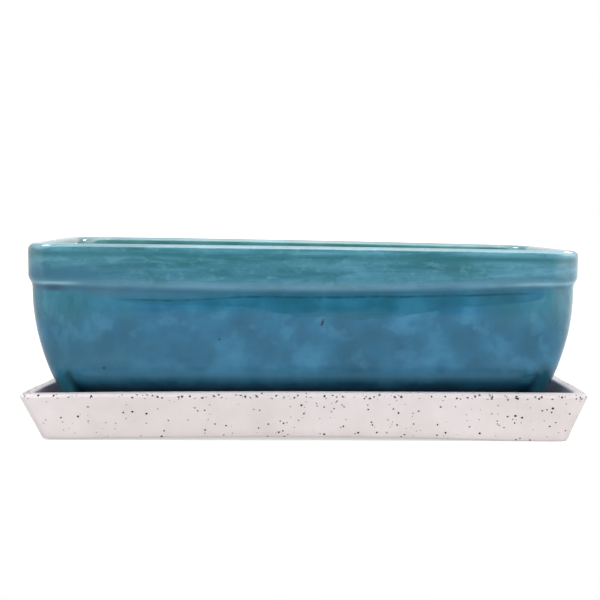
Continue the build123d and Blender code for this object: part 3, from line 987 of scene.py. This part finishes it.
def moulded(name, tones, roughness, grain_scale):
    material, nodes, place = new_material(name)
    grain = nodes.noise(place, scale=grain_scale, detail=3.0, roughness=0.6)
    dust = nodes.noise(place, scale=120.0)
    rough = nodes.smooth(grain, 0.3, 0.7, roughness - 0.08, roughness + 0.08)
    nodes.surface({"Base Color": nodes.ramp(dust, tones), "Roughness": rough,
                   "Normal": nodes.relief(grain, strength=0.25, distance=0.2)})
    return material


screen_plastic = moulded("screen_plastic", SCREEN_TONES, roughness=0.5, grain_scale=2400.0)
pad_rubber = moulded("pad_rubber", PAD_TONES, roughness=0.75, grain_scale=1600.0)
for name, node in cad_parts.items():
    if name.startswith("drain_screen"):
        node.data.materials.clear()
        node.data.materials.append(screen_plastic)
    elif name.startswith("saucer_pad"):
        node.data.materials.clear()
        node.data.materials.append(pad_rubber)


# White ground that ends a little in front of the planter, so that the walls mirror the dim side of the room

WHITE = (1.0, 1.0, 1.0, 1.0)
GROUND_HALF = 4.0
GROUND_FRONT = -0.30
GROUND_GREY = 0.65
GROUND_WHITENING = 0.55
GROUND_SHEEN_LEFT = 0.1
GROUND_SHEEN_RIGHT = 1.0


def ray_kinds(nodes):
    """Two switches: 1 for what the camera sees, and 1 for what shows in gloss or through glass."""
    seen = nodes.add("ShaderNodeLightPath", {}, output="Is Camera Ray")
    kinds = seen.node.outputs
    return seen, nodes.math("MAXIMUM", kinds["Is Glossy Ray"], kinds["Is Transmission Ray"])


def ground_paint():
    """Matt grey that takes the shadow, whitened where it is seen; in gloss it is brighter at the right."""
    material, nodes, place = new_material("ground")
    matt = nodes.add("ShaderNodeBsdfDiffuse", {"Color": (GROUND_GREY, GROUND_GREY, GROUND_GREY, 1.0)})
    seen, mirrored = ray_kinds(nodes)
    sheen = nodes.smooth(nodes.parts(place)[0], 0.1, 0.6, GROUND_SHEEN_LEFT, GROUND_SHEEN_RIGHT)
    whiter = nodes.math("MULTIPLY_ADD", seen, GROUND_WHITENING, nodes.times(mirrored, sheen))
    glow = nodes.add("ShaderNodeEmission", {"Color": WHITE, "Strength": whiter})
    both = nodes.add("ShaderNodeAddShader", {0: matt, 1: glow})
    nodes.add("ShaderNodeOutputMaterial", {"Surface": both}, output=None)
    return material


bm = bmesh.new()
sheet = bmesh.ops.create_grid(bm, x_segments=1, y_segments=1, size=GROUND_HALF)
bmesh.ops.translate(bm, vec=(0.0, GROUND_HALF + GROUND_FRONT, 0.0), verts=sheet["verts"])
ground_mesh = bpy.data.meshes.new("ground")
bm.to_mesh(ground_mesh)
bm.free()
ground = bpy.data.objects.new("ground", ground_mesh)
bpy.context.scene.collection.objects.link(ground)
ground.data.materials.append(ground_paint())


# Studio: its light depends on the way that a ray looks, and some of it shows in the glaze's gloss alone

ROOM_FRONT = 0.22
ROOM_BACK = 0.75
SIDE_SHEEN = 0.4
OVERHEAD_LIGHT = 3.0
CANOPY_SHEEN = 7.0
CORNER_LAMPS = ((-0.50, 0.34, 0.80), (0.56, 0.59, 0.58))
LAMP_SHEEN = 22.0
LAMP_EDGE = cos(radians(9.0))
LAMP_CORE = cos(radians(4.0))
PANEL_LIGHT = 1.0
PANEL_SHEEN = 0.8
LEFT_LIGHT = 0.7
FRONT_FILL = 2.3


def studio_light(nodes, look, mirrored):
    """A dim room in front and a lighter one behind, a lamp overhead, panels at the right and left and a
    soft fill from the front; in gloss also a canopy, a lamp for each inner corner and a white backdrop."""
    look_x, look_y, look_z = nodes.parts(look)
    aside = nodes.smooth(nodes.math("ABSOLUTE", look_x), 0.06, 0.2, 0.0, SIDE_SHEEN)
    light = nodes.smooth(look_y, -0.35, 0.3, ROOM_FRONT, ROOM_BACK)
    light = nodes.math("MAXIMUM", light, nodes.math("MULTIPLY_ADD", aside, mirrored, ROOM_FRONT))
    overhead = nodes.times(nodes.bump_at(look_y, -0.05, 0.2), nodes.smooth(look_z, 0.62, 0.8))
    light = nodes.math("MULTIPLY_ADD", overhead, OVERHEAD_LIGHT, light)
    canopy = nodes.times(nodes.smooth(look_y, -0.52, -0.08), nodes.smooth(look_y, 0.95, -0.1),
                         nodes.smooth(look_z, 0.15, 0.45), nodes.smooth(look_x, -0.2, 0.0, 0.4, 0.95),
                         nodes.smooth(look_x, 0.03, 0.15, 1.0, 0.75), mirrored)
    light = nodes.math("MULTIPLY_ADD", canopy, CANOPY_SHEEN, light)
    for lamp_way in CORNER_LAMPS:
        facing = nodes.add("ShaderNodeVectorMath", {0: look, 1: Vector(lamp_way).normalized()},
                           output="Value", operation="DOT_PRODUCT")
        lamp = nodes.times(nodes.smooth(facing, LAMP_EDGE, LAMP_CORE), mirrored)
        light = nodes.math("MULTIPLY_ADD", lamp, LAMP_SHEEN, light)
    panel = nodes.times(nodes.smooth(look_x, 0.45, 1.0), nodes.smooth(look_z, 0.9, 0.2))
    panel_strength = nodes.math("MULTIPLY_ADD", mirrored, PANEL_SHEEN, PANEL_LIGHT)
    light = nodes.math("MULTIPLY_ADD", panel, panel_strength, light)
    light = nodes.math("ADD", light, nodes.smooth(look_x, -0.86, -0.97, 0.0, LEFT_LIGHT))
    fill = nodes.times(nodes.smooth(look_y, -0.2, -0.75), nodes.smooth(look_z, 0.0, 0.45),
                       nodes.math("SUBTRACT", 1.0, mirrored))
    light = nodes.math("MULTIPLY_ADD", fill, FRONT_FILL, light)
    backdrop = nodes.times(mirrored, nodes.smooth(look_y, -0.05, 0.2))
    return nodes.math("MAXIMUM", light, backdrop)


world = bpy.data.worlds.new("studio")
bpy.context.scene.world = world
world.use_nodes = True
nodes = Nodes(world.node_tree)
look = nodes.add("ShaderNodeTexCoord", {}, output="Generated")
seen, mirrored = ray_kinds(nodes)
strength = nodes.add("ShaderNodeMix", {0: seen, 2: studio_light(nodes, look, mirrored), 3: 1.0},
                     data_type="FLOAT")
back = nodes.add("ShaderNodeBackground", {"Color": WHITE, "Strength": strength})
nodes.add("ShaderNodeOutputWorld", {"Surface": back}, output=None)


# Camera at the photograph's place, in metres and degrees; its focal length is in pixels of the square frame

FRAME_PIXELS = 600.0
FOCAL_PIXELS = 1209.5
SENSOR_WIDTH = 36.0
CAMERA_PLACE = (-0.0022, -0.7129, 0.1300)
CAMERA_PITCH = 4.73
CAMERA_ROLL = 0.15

lens = bpy.data.cameras.new("camera")
lens.sensor_fit = "HORIZONTAL"
lens.sensor_width = SENSOR_WIDTH
lens.lens = SENSOR_WIDTH * FOCAL_PIXELS / FRAME_PIXELS
lens.clip_start = 0.01
camera = bpy.data.objects.new("camera", lens)
bpy.context.scene.collection.objects.link(camera)
camera.matrix_world = (Matrix.Translation(CAMERA_PLACE)
                       @ Matrix.Rotation(radians(90 - CAMERA_PITCH), 4, "X")
                       @ Matrix.Rotation(radians(CAMERA_ROLL), 4, "Z"))
bpy.context.scene.camera = camera
bpy.context.scene.view_settings.view_transform = "Standard"
